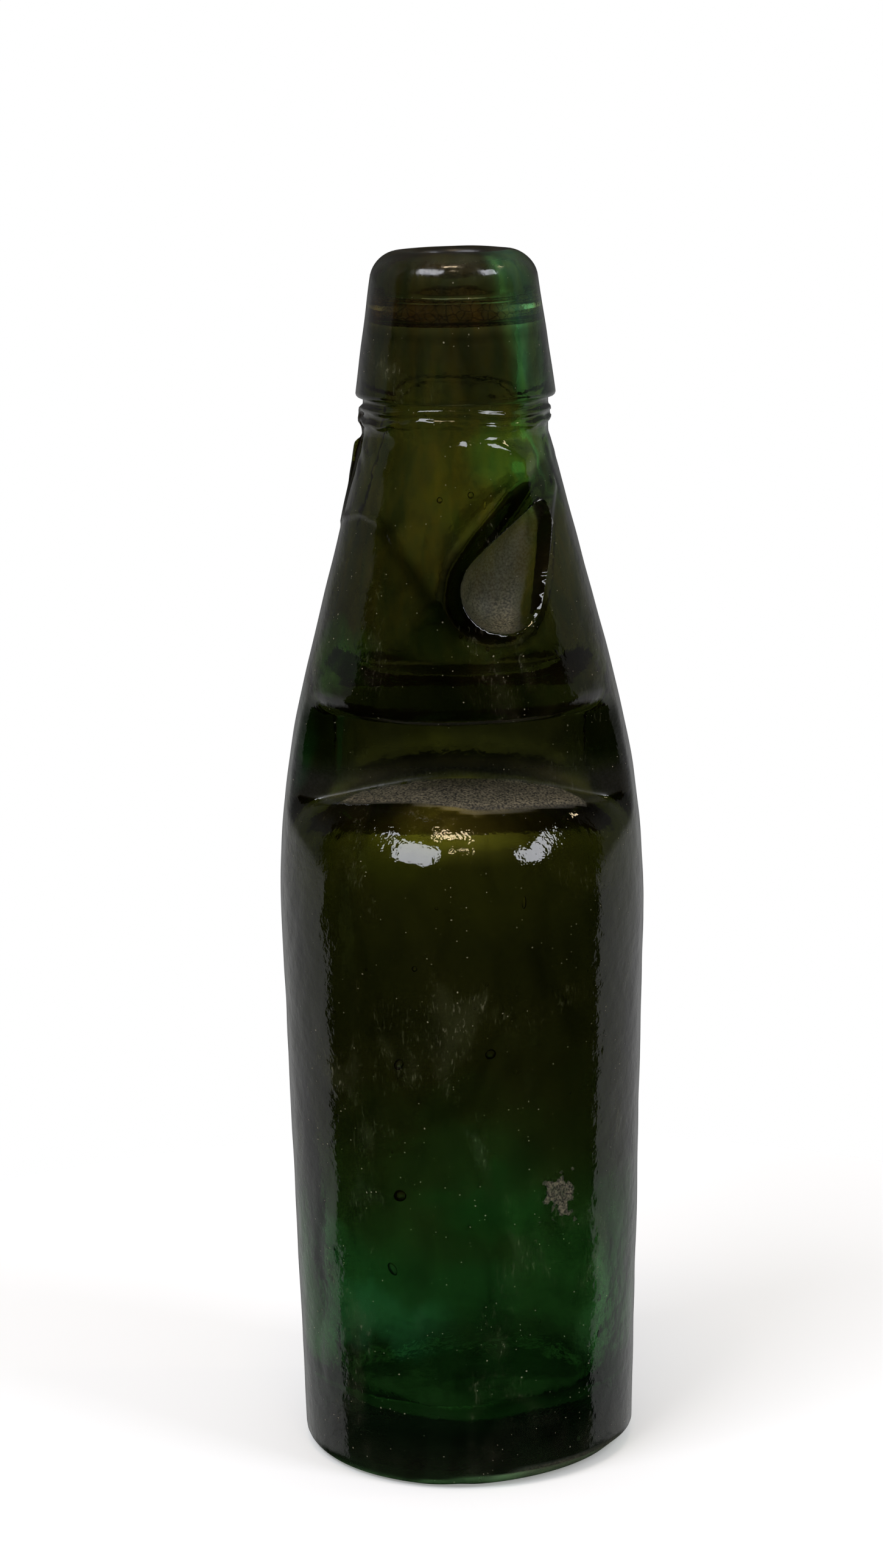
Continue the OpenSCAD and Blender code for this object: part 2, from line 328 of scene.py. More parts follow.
# The inner surface, from the mouth down through the groove, the neck and the slot to the middle of the floor.
MOUTH_ROWS, GROOVE_ROWS = 5, 12
fixed_rows = MOUTH_ROWS + GROOVE_ROWS
turns = turns[::2]
inner_wall = skin_r(112.0) - WALL - 0.3
slot_wall = np.minimum(SLOT_Y / np.maximum(np.abs(np.cos(np.radians(turns))), 1e-3), inner_wall)
roof_z = LEDGE_Z - WALL - LEDGE_FALL * (slot_wall - PINCH_Y)
groove = [(GROOVE_R + GROOVE_CORD_R * math.cos(a), RING_Z + GROOVE_CORD_R * math.sin(a))
          for a in np.radians(np.linspace(141, -91, 9))]
inner = lay_grid([
    (MOUTH_ROWS, [(MOUTH_R, TOP_Z - MOUTH_ROUND), groove[0]]),
    (GROOVE_ROWS, groove),
    (44, [groove[-1], (BORE_R, 164)] + skin_path(160, 128, WALL, 3)),
    (52, skin_path(128, 124, WALL, 1) + [(slot_wall, OVERHANG_Z + WALL), (slot_wall, roof_z)]
     + skin_path(99.5, 94, WALL, 1)),
    (34, skin_path(94, 21, WALL, 3)),
    (16, [(skin_r(21.0) - WALL, 21), (skin_r(15.0) - WALL, 15), (skin_r(13.0) - WALL - 2, FLOOR_Z + 2),
          (14, FLOOR_Z), (0.2, FLOOR_Z)]),
], turns)
in_neck = (inner[..., 2] > 127) & (inner[..., 2] < RING_Z - 3)
outward = inner * [1, 1, 0]
outward /= np.linalg.norm(outward, axis=-1, keepdims=True)
start = inner[in_neck] * [0, 0, 1] + outward[in_neck] * 4
inner[in_neck] = march(hollow, start, -outward[in_neck], 40)
inner[fixed_rows:] = settle(hollow, inner[fixed_rows:], 12)
inner[fixed_rows + 1:] = relax(hollow, inner[fixed_rows + 1:], 12)
inner[fixed_rows + 1:] = settle(hollow, inner[fixed_rows + 1:], 3)


def ripple(p, size, seed):
    """Smooth unevenness at the points p, from about -1 to 1, in waves of about size millimetres."""
    chance = np.random.default_rng(seed)
    waves = chance.normal(size=(7, 3))
    length = np.linalg.norm(waves, axis=1, keepdims=True)
    waves *= 2 * np.pi / size * chance.uniform(0.6, 1.4, (7, 1)) / length
    return sum(np.sin(p @ wave + shift) for wave, shift in zip(waves, chance.uniform(0, 2 * np.pi, 7))) / 3


def facing(depth, p):
    """Unit normals at the points p of the surface where depth is nothing."""
    rise = slope(depth, p)
    return rise / np.maximum(np.linalg.norm(rise, axis=-1, keepdims=True), 1e-6)


# Dents: (turn, height, how far they run up and down, width, depth).
DENTS = (
    (8, 155.5, 0.0, 1.1, 0.30), (-14, 150.5, 1.0, 0.8, 0.18), (-17, 146.5, 0.6, 0.8, 0.18),
    (20, 92, 1.2, 0.6, 0.05), (-36, 119.5, 0.5, 1.6, 0.10), (33, 119.8, 0.4, 1.3, 0.10),
    (-3, 97, 0.4, 1.2, 0.06), (12, 99, 0.3, 1.0, 0.05),
)
# Folds and swellings where the hot glass met itself: (turn, height) along each, then its width, its height,
# and the painted light along it, in steps of four times: a painted highlight on the neck's crease, painted
# shade on the diagonal below it.
FOLDS = (
    (((-81, 148), (-57, 149.6), (-44, 148.8), (-35, 147), (-29, 144.6)), 0.5, 0.34, 0.5),
    (((-38, 147.5), (-15, 138.7), (-7, 136.1), (-1, 133)), 1.1, -0.16, -1.5),
    (((10, 159.2), (22, 158.8), (40, 157.6)), 2.4, 1.1, 0.0),
    (((-26, 162.0), (-14, 162.0)), 1.7, 0.42, 0.0),
    (((44, 49.9), (60, 49), (81, 49.7)), 0.5, 0.14, 0.0),
    (((-52, 44), (-58, 36), (-55, 28), (-62, 20), (-60, 14)), 1.3, -0.14, 0.0),
)


def dented(p):
    """How far the skin stands out at the points p, by its general unevenness and its dents."""
    uneven = 0.05 * ripple(p, 15, 1) + 0.02 * ripple(p, 6, 2)
    under_laps = np.exp(-((p[..., 2] - 158) / 3.5) ** 2)
    uneven += (0.10 * ripple(p, 6, 5) + 0.05 * ripple(p, 3, 6)) * under_laps
    for turn, z, run, size, sunk in DENTS:
        off = p - around(skin_r(z), turn, z)
        along = np.clip(off @ (0, 0, 1), -run, run)
        uneven -= sunk * np.exp(-(((off - along[..., None] * (0, 0, 1)) ** 2).sum(-1)) / size ** 2)
    return uneven


def near_fold(p, fold, size):
    """How near the points p are to a fold: 1 on its line, and fading over the width size."""
    way = np.array([around(skin_r(z), turn, z) for turn, z in fold])
    off = np.full(p.shape[:2], 1e9)
    for a, b in zip(way[:-1], way[1:]):
        t = np.clip((p - a) @ (b - a) / ((b - a) @ (b - a)), 0, 1)[..., None]
        off = np.minimum(off, np.linalg.norm(p - a - t * (b - a), axis=-1))
    return np.exp(-(off / size) ** 2)


def dust_settled(p, way):
    """How much dust lies at the points p, which face way: on the ledge, in the lugs' bowls, on the chip."""
    x, y, z = p[..., 0], p[..., 1], p[..., 2]
    level = way[..., 2]

    # The ledge holds it as far out as it is flat enough, but not close to the pinch's wall.
    on_ledge = (z > 96) & (z < 111) & (np.abs(y) > PINCH_Y - 1)
    steepest = 0.76 + 0.13 * np.clip((2 - x) / 10, 0, 1) * (y < 0)
    behind = 10.0 + 12 * np.clip((np.abs(x) - 14.5) / 8.5, 0, 1) ** 1.5 + 0.4 * ripple(p, 7, 8)
    settled = np.clip((level - steepest) / 0.08, 0, 1) * on_ledge
    settled *= 0.10 + 0.90 * np.clip((np.abs(y) - behind) / 0.8, 0, 1)

    in_bowl = np.clip(0.2 - lug_depth(p), 0, 0.4) / 0.4 * (np.abs(y) > 3)
    in_bowl *= np.clip((way[..., 0] + 0.55) / 0.4, 0, 1) * (0.24 + 0.72 * np.clip((146 - z) / 12, 0, 1))

    on_wall = (np.abs(y) < PINCH_Y + 1) & (z > 106) & (z < 118) & (level > -0.3)
    on_wall = on_wall * (np.abs(way[..., 1]) > 0.5) * 0.10 * np.clip((113 - z) / 4, 0, 1)

    turned = np.degrees(np.arctan2(x, -y))
    on_chip = np.clip((-level - 0.35) / 0.3, 0, 1) * np.clip((level + 0.98) / 0.12, 0, 1)
    on_chip = (z < CHIP_H + 0.3) * on_chip
    on_chip = on_chip * 0.5 * np.clip((38 - np.abs(turned - CHIP_TURN)) / 20, 0, 1)
    return np.maximum(settled, np.maximum(np.maximum(in_bowl, on_wall), on_chip))


def painted_light_and_shade(p, way):
    """Painted light and shade at the points p, which face way, in steps of four times, for how thick glass
    bends light.

    It is painted light on the ledge's rim, low on the pinch's wall, over the pinch, round the ring and under
    the base, and painted shade in a line under the ring, in the heel and beside the lugs.
    """
    x, y, z = p[..., 0], p[..., 1], p[..., 2]
    level = way[..., 2]
    on_ledge = (z > 96) & (z < 111) & (np.abs(y) > PINCH_Y - 1)
    # Painted light on the ledge's rim, strongest on the front.
    rim = np.clip((0.92 - level) / 0.06, 0, 1) * np.clip((level - 0.42) / 0.25, 0, 1) * on_ledge
    shade = 1.8 * rim * np.exp(-((np.degrees(np.arctan2(x, -y)) + 3) / 30) ** 2)

    # Painted light low on the pinch's wall and over the pinch.
    arch = z - 111.5 + 2.2 * (x / 14) ** 2
    shade += 1.1 * np.exp(-(arch / 1.4) ** 2) * (np.abs(y) < PINCH_Y + 1) * (np.abs(x) < 20)
    shade += 0.8 * np.clip((z - 118.5) / 1.5, 0, 1) * np.clip((131 - z) / 6, 0, 1)
    # Painted light round the ring, and a line of painted shade under it.
    shade += 0.6 * np.exp(-((z - RING_Z - 0.4) / 2.3) ** 4)
    shade -= 0.5 * np.exp(-((z - RING_Z + 3.2) / 0.6) ** 2)

    # Painted light under the base, painted shade in the heel.
    shade += 1.8 * np.clip((2.7 - z) / 0.5, 0, 1) * np.clip(-level * 4 - 1.5, 0, 1)
    shade -= 0.4 * np.clip((z - 2.6) / 0.6, 0, 1) * np.clip((11 - z) / 2, 0, 1)

    # Painted shade beside the lugs, mostly on their upper, left side.
    from_lug = lug_depth(p)
    side_way = np.degrees(np.arctan2(x, np.abs(y)))
    side_way = (z - LUG_FOOT[1]) * 0.69 - (side_way - LUG_FOOT[0]) * 0.22
    shade_beside_lug = np.clip(from_lug / 0.3, 0, 1) * np.clip((3.6 - from_lug) / 0.7, 0, 1)
    shade_beside_lug *= (z > 128) * (z < 158)
    shade -= 1.2 * shade_beside_lug * np.clip((side_way + 3.2) / 3, 0, 1)
    return shade


out_way = facing(outside, outer)
uneven = dented(outer)
# Painted light and shade on the outer skin: along two of the folds, and in the zones where thick glass bends
# light.
shade = np.zeros(outer.shape[:2])
for fold, size, raised, painted_fold_light in FOLDS:
    near = near_fold(outer, fold, size)
    uneven += raised * near
    shade += painted_fold_light * near
outer += out_way * (uneven * np.clip((outer[..., 2] - 4) / 8, 0, 1))[..., None]
settled = dust_settled(outer, out_way)
shade += painted_light_and_shade(outer, out_way)

in_way = facing(hollow, inner)
loose = 0.06 + 0.24 * np.clip((98 - inner[..., 2]) / 10, 0, 1)
loose[:fixed_rows + 1] = 0
inner += in_way * (loose * ripple(inner, 17, 3))[..., None]


def closed_shell(outer, inner):
    """Vertices and faces of the outer and inner grids, joined at the mouth and capped at both centres."""
    m, n = outer.shape[:2]
    k, h = inner.shape[:2]
    vertices = np.concatenate([outer.reshape(-1, 3), inner.reshape(-1, 3),
                               [[0, 0, outer[0, :, 2].mean()]], [[0, 0, inner[-1, :, 2].mean()]]])
    faces = []
    for rows, cols, first in ((m, n, 0), (k, h, m * n)):
        for i in range(rows - 1):
            for j in range(cols):
                a, b = first + i * cols + j, first + i * cols + (j + 1) % cols
                faces.append((a, b, b + cols, a + cols))
    rim, hole = (m - 1) * n, m * n
    for j in range(h):
        a, b, c = rim + 2 * j, rim + 2 * j + 1, rim + (2 * j + 2) % n
        d, e = hole + j, hole + (j + 1) % h
        faces += [(a, b, d), (b, e, d), (b, c, e)]
    base, floor = len(vertices) - 2, len(vertices) - 1
    last = m * n + (k - 1) * h
    faces += [(base, (j + 1) % n, j) for j in range(n)]
    faces += [(floor, last + j, last + (j + 1) % h) for j in range(h)]
    return vertices, faces


def mesh_object(name, vertices, faces):
    """A smooth-shaded object of the given mesh, from millimetres."""
    mesh = bpy.data.meshes.new(name)
    mesh.from_pydata((np.asarray(vertices) * MM).tolist(), [], faces)
    mesh.update()
    mesh.shade_smooth()
    made = bpy.data.objects.new(name, mesh)
    bpy.context.scene.collection.objects.link(made)
    return made


# Bubbles: (turn, height, depth in the wall, radius, how much taller than wide, lean in degrees).
BUBBLES = (
    (-21.6, 68.0, 1.5, 0.75, 1.3, 35), (8.4, 69.9, 1.2, 0.8, 1.1, 60), (-15.6, 83.1, 1.6, 0.45, 1.0, 0),
    (19.8, 92.9, 1.4, 0.4, 2.4, 5), (8.0, 152.5, 1.8, 0.5, 1.1, 0), (-9.6, 151.8, 2.0, 0.45, 1.1, 0),
    (11.7, 130.4, 1.2, 0.35, 1.2, 0), (0.9, 132.2, 1.2, 0.3, 1.0, 0), (-26.0, 35.1, 1.6, 0.7, 1.6, -30),
    (60.3, 12.0, 1.6, 0.5, 2.6, 8), (-22.4, 47.1, 1.5, 0.95, 1.1, 70), (-61.0, 9.5, 1.5, 0.35, 2.2, 0),
    (52.0, 27.5, 1.8, 0.4, 1.5, 0), (-8.0, 92.6, 1.0, 0.3, 1.0, 0), (15.5, 151.0, 1.5, 0.25, 2.6, 10),
    (42.0, 5.5, 1.5, 0.35, 1.3, 20), (-55.0, 88.0, 1.0, 0.3, 1.0, 0),
)
# Small round ones, spread by chance.
SEEDS = 26


def bubble(turn, z, sunk, radius, tall, lean):
    """Vertices and inward faces of an egg-shaped bubble in the wall."""
    rings, sides = 7, 12
    b = np.linspace(0, np.pi, rings + 2)[1:-1, None]
    a = np.linspace(0, 2 * np.pi, sides, endpoint=False)[None, :]
    egg = np.broadcast_arrays(np.sin(b) * np.cos(a), np.sin(b) * np.sin(a) * 0.7, np.cos(b) * tall)
    egg = np.stack(egg, -1)
    egg = np.concatenate([egg.reshape(-1, 3), [[0, 0, tall], [0, 0, -tall]]]) * radius
    c, s = math.cos(math.radians(lean)), math.sin(math.radians(lean))
    egg = egg @ np.array([[c, 0, -s], [0, 1, 0], [s, 0, c]])
    c, s = math.cos(math.radians(turn)), math.sin(math.radians(turn))
    egg = egg @ np.array([[c, s, 0], [-s, c, 0], [0, 0, 1]]) + around(skin_r(z) - sunk, turn, z)
    faces = [(i * sides + j, (i + 1) * sides + j,
              (i + 1) * sides + (j + 1) % sides, i * sides + (j + 1) % sides)
             for i in range(rings - 1) for j in range(sides)]
    top, foot = rings * sides, rings * sides + 1
    faces += [(top, j, (j + 1) % sides) for j in range(sides)]
    faces += [(foot, (rings - 1) * sides + (j + 1) % sides, (rings - 1) * sides + j) for j in range(sides)]
    return egg, [face[::-1] for face in faces]


vertices, faces = closed_shell(outer, inner)
chance = np.random.default_rng(7)
seeds = [(chance.uniform(-180, 180), chance.uniform(16, 88), chance.uniform(0.8, 3.4),
          chance.uniform(0.12, 0.26), chance.uniform(1, 2), chance.uniform(-20, 20)) for _ in range(SEEDS)]
for spot in BUBBLES + tuple(seeds):
    egg, egg_faces = bubble(*spot)
    faces += [tuple(i + len(vertices) for i in face) for face in egg_faces]
    vertices = np.concatenate([vertices, egg])
glass = mesh_object("bottle_glass", vertices, faces)
dust = glass.data.attributes.new("settled_dust", "FLOAT", "POINT")
dust.data.foreach_set("value", np.concatenate([settled.ravel(), np.zeros(len(vertices) - settled.size)]))
side = glass.data.attributes.new("outer_side", "FLOAT", "POINT")
side.data.foreach_set("value", (np.arange(len(vertices)) < settled.size).astype(float))
# The painted light and shade of the glass, kept on each point of the outer skin.
painted_lightness = glass.data.attributes.new("painted_light_shade", "FLOAT", "POINT")
painted_lightness.data.foreach_set("value", np.concatenate([shade.ravel(), np.zeros(len(vertices) - shade.size)]))


def linear(code, scale=1.0):
    """The linear colour of an sRGB hex value."""
    parts = [int(code[i:i + 2], 16) / 255 for i in (1, 3, 5)]
    return [scale * (c / 12.92 if c <= 0.04045 else ((c + 0.055) / 1.055) ** 2.4) for c in parts] + [1.0]


def add_node(tree, kind, links=(), **settings):
    """A new node of that kind, with its settings, and its inputs set to values or linked to sockets."""
    node = tree.nodes.new("ShaderNode" + kind)
    for name, value in settings.items():
        setattr(node, name, value)
    for name, source in dict(links).items():
        if isinstance(source, bpy.types.NodeSocket):
            tree.links.new(source, node.inputs[name])
        else:
            node.inputs[name].default_value = source
    return node


def new_material(name):
    """An empty material, its tree of nodes, and the place on the object in millimetres."""
    material = bpy.data.materials.new(name)
    material.use_nodes = True
    tree = material.node_tree
    tree.nodes.clear()
    place = add_node(tree, "TexCoord").outputs["Object"]
    mm = add_node(tree, "VectorMath", {0: place, "Scale": 1 / MM}, operation="SCALE").outputs[0]
    return material, tree, mm


def blotches(tree, mm, size, low, high, stretch=(1, 1, 1), twist=0.0, detail=3.0):
    """Mask of blotches about size millimetres across: 0 where the noise is under low and 1 over high."""
    moved = add_node(tree, "Mapping", {"Vector": mm, "Scale": [way / size for way in stretch]})
    cloud = add_node(tree, "TexNoise", {"Vector": moved.outputs[0], "Scale": 1.0, "Detail": detail,
                                        "Distortion": twist})
    return add_node(tree, "MapRange", {0: cloud.outputs[0], 1: low, 2: high, 3: 0.0, 4: 1.0}).outputs[0]


# Tints of the glass, from the ground up: (where it starts, where it is full, colour); heights in mm.
FOOT_TINT = "#3c5a38"
BOTTLE_TINTS = ((8, 17, "#2e5129"), (27, 56, "#2e2710"), (84, 98, "#443a11"), (106, 112, "#332b14"),
                (124, 146, "#5f4e26"), (163, 169, "#4b3c28"))
# Patches of greener melt: (turn, height, reach across, reach up, colour, strength).
BOTTLE_PATCHES = (
    (-62, 29, 8, 15, "#5a9468", 0.9), (-38, 31, 9, 8, "#2c5a33", 0.8), (62, 28, 8, 16, "#5a9460", 0.9),
    (36, 38, 8, 6, "#2a5024", 0.7), (8, 46, 10, 5, "#244a20", 0.7), (-8, 33, 12, 6, "#24502a", 0.6),
    (-30, 26, 10, 5, "#3f8a62", 0.7), (178, 34, 20, 9, "#2f6a3c", 0.5), (40, 157, 8, 7, "#82a845", 0.9),
    (-8, 155, 4, 9, "#74601c", 0.6), (12, 148, 5, 7, "#6e6a1c", 0.7), (-40, 152, 6, 8, "#3f3a26", 0.7),
    (-52, 129, 7, 5, "#4c7a2e", 0.8), (-20, 101, 9, 5, "#56500f", 0.6), (-78, 114, 6, 7, "#2c5a36", 0.9),
    (-4, 120, 4, 6, "#26220f", 0.7), (25, 125, 8, 4, "#2c2a10", 0.6),
)
# How far the melt's swirl draws out the tints, up and down, and the patches, every way.
TINT_SWIRL = 26.0
PATCH_SWIRL = 16.0


def melt_tint(tree, mm, swirl):
    """The colour of the melt: its tints by height, and the greener patches in it."""
    up = add_node(tree, "SeparateXYZ", {0: mm}).outputs[2]
    swirled = add_node(tree, "Math", {0: swirl, 1: TINT_SWIRL, 2: up}, operation="MULTIPLY_ADD").outputs[0]
    tint = linear(FOOT_TINT)
    for low, high, colour in BOTTLE_TINTS:
        limits = {1: low + TINT_SWIRL / 2, 2: high + TINT_SWIRL / 2, 3: 0.0, 4: 1.0}
        share = add_node(tree, "MapRange", {0: swirled, **limits}, interpolation_type="SMOOTHSTEP").outputs[0]
        tint = add_node(tree, "Mix", {0: share, 6: tint, 7: linear(colour)}, data_type="RGBA").outputs[2]

    drawn = add_node(tree, "TexNoise", {"Vector": mm, "Scale": 1 / 14, "Detail": 2.0, "Distortion": 1.0})
    drawn = add_node(tree, "VectorMath", {0: drawn.outputs[1], 1: [PATCH_SWIRL] * 3, 2: mm},
                     operation="MULTIPLY_ADD").outputs[0]
    for turn, z, wide, tall, colour, strength in BOTTLE_PATCHES:
        centre = tuple(around(float(skin_r(z)), turn, z) + PATCH_SWIRL / 2)
        off = add_node(tree, "VectorMath", {0: drawn, 1: centre}, operation="SUBTRACT").outputs[0]
        off = add_node(tree, "VectorMath", {0: off, 1: (1 / wide, 1 / wide, 1 / tall)},
                       operation="MULTIPLY").outputs[0]
        off = add_node(tree, "VectorMath", {0: off}, operation="LENGTH").outputs["Value"]
        share = add_node(tree, "MapRange", {0: off, 1: 1.3, 2: 0.45, 3: 0.0, 4: strength},
                         interpolation_type="SMOOTHSTEP").outputs[0]
        tint = add_node(tree, "Mix", {0: share, 6: tint, 7: linear(colour)}, data_type="RGBA").outputs[2]
    return tint


def teal_streak(tree, mm, swirl, in_front):
    """Mask of the streak of teal melt down the lip's right and over the neck."""
    across, _, up = add_node(tree, "SeparateXYZ", {0: mm}).outputs
    leaning = add_node(tree, "Math", {0: up, 1: 0.27, 2: across}, operation="MULTIPLY_ADD").outputs[0]
    leaning = add_node(tree, "Math", {0: swirl, 1: 7.0, 2: leaning}, operation="MULTIPLY_ADD").outputs[0]
    off = add_node(tree, "Math", {0: leaning, 1: 62.0}, operation="SUBTRACT").outputs[0]
    off = add_node(tree, "Math", {0: off}, operation="ABSOLUTE").outputs[0]
    streak = add_node(tree, "MapRange", {0: off, 1: 5.0, 2: 1.5, 3: 0.0, 4: 1.0},
                      interpolation_type="SMOOTHSTEP").outputs[0]
    high_up = add_node(tree, "MapRange", {0: up, 1: 148.0, 2: 156.0, 3: 0.0, 4: 1.0}).outputs[0]
    patchy = blotches(tree, mm, 5, 0.30, 0.62, (1, 1, 0.5), 1.0, 2.0)
    patchy = add_node(tree, "MapRange", {0: patchy, 1: 0.0, 2: 1.0, 3: 0.35, 4: 0.85}).outputs[0]
    for mask in (high_up, in_front, patchy):
        streak = add_node(tree, "Math", {0: streak, 1: mask}, operation="MULTIPLY").outputs[0]
    return streak


def golden_threads(tree, mm):
    """What the tint is multiplied by for the gold and green threads drawn out along the neck and the lip."""
    up = add_node(tree, "SeparateXYZ", {0: mm}).outputs[2]
    threads = blotches(tree, mm, 2.2, 0.34, 0.66, (1, 1, 0.14), 0.5, 3.0)
    threads = add_node(tree, "Mix", {0: threads, 6: (0.66, 0.84, 0.86, 1), 7: (1.38, 1.18, 0.78, 1)},
                       data_type="RGBA").outputs[2]
    upper = add_node(tree, "MapRange", {0: up, 1: 122.0, 2: 132.0, 3: 0.0, 4: 1.0}).outputs[0]
    return add_node(tree, "Mix", {0: upper, 6: (1, 1, 1, 1), 7: threads}, data_type="RGBA").outputs[2]


def wisps_and_painted_shades(tree, mm, in_front):
    """What the tint is scaled by: the melt's dark wisps, painted shade left of and below the neck's fold, and
    the painted light and shade kept on the points.
    """
    smoke = blotches(tree, mm, 10, 0.45, 0.70, (1, 1, 0.6), 1.6, 2.0)
    smoke = add_node(tree, "MapRange", {0: smoke, 1: 0.0, 2: 1.0, 3: 1.08, 4: 0.5}).outputs[0]

    across, _, up = add_node(tree, "SeparateXYZ", {0: mm}).outputs
    # Painted shade left of and below the neck's fold, on the front.
    lower_left = add_node(tree, "Math", {0: across, 1: 1.43, 2: up}, operation="MULTIPLY_ADD").outputs[0]
    lower_left = add_node(tree, "MapRange", {0: lower_left, 1: 134.0, 2: 129.5, 3: 0.0, 4: 1.0}).outputs[0]
    over_pinch = add_node(tree, "MapRange", {0: up, 1: 112.0, 2: 120.0, 3: 0.0, 4: 1.0}).outputs[0]
    painted_shade_under_fold = add_node(tree, "Math", {0: lower_left, 1: over_pinch}, operation="MULTIPLY").outputs[0]
    painted_shade_under_fold = add_node(tree, "Math", {0: painted_shade_under_fold, 1: in_front}, operation="MULTIPLY").outputs[0]
    painted_shade_under_fold = add_node(tree, "MapRange", {0: painted_shade_under_fold, 1: 0.0, 2: 1.0, 3: 1.0, 4: 0.5}).outputs[0]

    # The painted light and shade kept on each point, in steps of four times.
    painted_lightness = add_node(tree, "Attribute", attribute_name="painted_light_shade").outputs["Fac"]
    painted_lightness = add_node(tree, "Math", {0: 4.0, 1: painted_lightness}, operation="POWER").outputs[0]
    return smoke, painted_shade_under_fold, painted_lightness


def specks(tree, mm):
    """Mask of ragged specks of grime, most of them tiny, thick in some places and rare in others."""
    jagged = add_node(tree, "TexNoise", {"Vector": mm, "Scale": 1 / 0.25, "Detail": 1.0}).outputs[1]
    jagged = add_node(tree, "VectorMath", {0: jagged, 1: (0.22, 0.22, 0.22), 2: mm},
                      operation="MULTIPLY_ADD").outputs[0]
    cells = add_node(tree, "TexVoronoi", {"Vector": jagged, "Scale": 1 / 0.75}).outputs
    size = add_node(tree, "SeparateXYZ", {0: cells["Color"]}).outputs[0]
    size = add_node(tree, "Math", {0: size, 1: 5.0}, operation="POWER").outputs[0]
    size = add_node(tree, "Math", {0: size, 1: 0.15, 2: 0.022}, operation="MULTIPLY_ADD").outputs[0]
    within = add_node(tree, "Math", {0: size, 1: cells["Distance"]}, operation="SUBTRACT").outputs[0]
    within = add_node(tree, "MapRange", {0: within, 1: 0.0, 2: 0.03, 3: 0.0, 4: 1.0}).outputs[0]
    sparse = blotches(tree, mm, 5, 0.40, 0.58)
    return add_node(tree, "Math", {0: within, 1: sparse}, operation="MULTIPLY").outputs[0]


def grime_on_skin(tree, mm):
    """How much grime hides the glass: a film, thicker at the foot and the top, clouds, scuffs and specks."""
    up = add_node(tree, "SeparateXYZ", {0: mm}).outputs[2]
    cloud = blotches(tree, mm, 11, 0.52, 0.74, (1, 1, 0.6), 0.5)
    scuffs = blotches(tree, mm, 0.45, 0.58, 0.72, (1, 1, 0.35), 0.8)
    scuffs = add_node(tree, "Math", {0: scuffs, 1: cloud}, operation="MULTIPLY").outputs[0]
    grime = add_node(tree, "MapRange", {0: up, 1: 4.0, 2: 16.0, 3: 0.075, 4: 0.03}).outputs[0]
    on_dome = add_node(tree, "MapRange", {0: up, 1: 180.0, 2: 186.0, 3: 0.0, 4: 0.055}).outputs[0]
    grime = add_node(tree, "Math", {0: grime, 1: on_dome}, operation="ADD").outputs[0]
    for mask, share in ((cloud, 0.055), (scuffs, 0.15), (specks(tree, mm), 0.45)):
        grime = add_node(tree, "Math", {0: mask, 1: share, 2: grime}, operation="MULTIPLY_ADD").outputs[0]
    return grime


DIRT_PLACE = (14.3, -23.3, 46.6)


def dirt_patch(tree, mm):
    """Mask of the one ragged patch of dried dirt, on the front."""
    off = add_node(tree, "VectorMath", {0: mm, 1: DIRT_PLACE}, operation="SUBTRACT").outputs[0]
    off = add_node(tree, "VectorMath", {0: off, 1: (0.8, 0.5, 0.55)}, operation="MULTIPLY").outputs[0]
    off = add_node(tree, "VectorMath", {0: off}, operation="LENGTH").outputs["Value"]
    ragged = add_node(tree, "TexNoise", {"Vector": mm, "Scale": 0.5, "Detail": 4.0, "Distortion": 0.3})
    off = add_node(tree, "Math", {0: ragged.outputs[0], 1: 8.0, 2: off}, operation="MULTIPLY_ADD").outputs[0]
    patch = add_node(tree, "MapRange", {0: off, 1: 5.9, 2: 5.5, 3: 0.0, 4: 1.0}).outputs[0]
    flecks = blotches(tree, mm, 0.8, 0.30, 0.60)
    flecks = add_node(tree, "MapRange", {0: flecks, 1: 0.0, 2: 1.0, 3: 0.55, 4: 1.1}).outputs[0]
    patch = add_node(tree, "Math", {0: patch, 1: flecks}, operation="MULTIPLY").outputs[0]
    return add_node(tree, "Math", {0: patch, 1: 0.8}, operation="MULTIPLY").outputs[0]


def sand_bed(tree, mm, settled):
    """Colour of the settled dust, pale grains on a darker bed, and how much of the glass it hides."""
    up = add_node(tree, "SeparateXYZ", {0: mm}).outputs[2]
    grains = blotches(tree, mm, 0.34, 0.38, 0.66)
    sand = add_node(tree, "Mix", {0: grains, 6: linear("#2a271e"), 7: linear("#7d735b")},
                    data_type="RGBA").outputs[2]
    in_bowl = add_node(tree, "MapRange", {0: up, 1: 125.0, 2: 142.0, 3: 1.0, 4: 2.1}).outputs[0]
    sand = add_node(tree, "VectorMath", {0: sand, "Scale": in_bowl}, operation="SCALE").outputs[0]
    lumps = blotches(tree, mm, 3.0, 0.25, 0.65)
    lumps = add_node(tree, "MapRange", {0: lumps, 1: 0.0, 2: 1.0, 3: 0.55, 4: 0.85}).outputs[0]
    return sand, add_node(tree, "Math", {0: settled, 1: lumps}, operation="MULTIPLY").outputs[0]


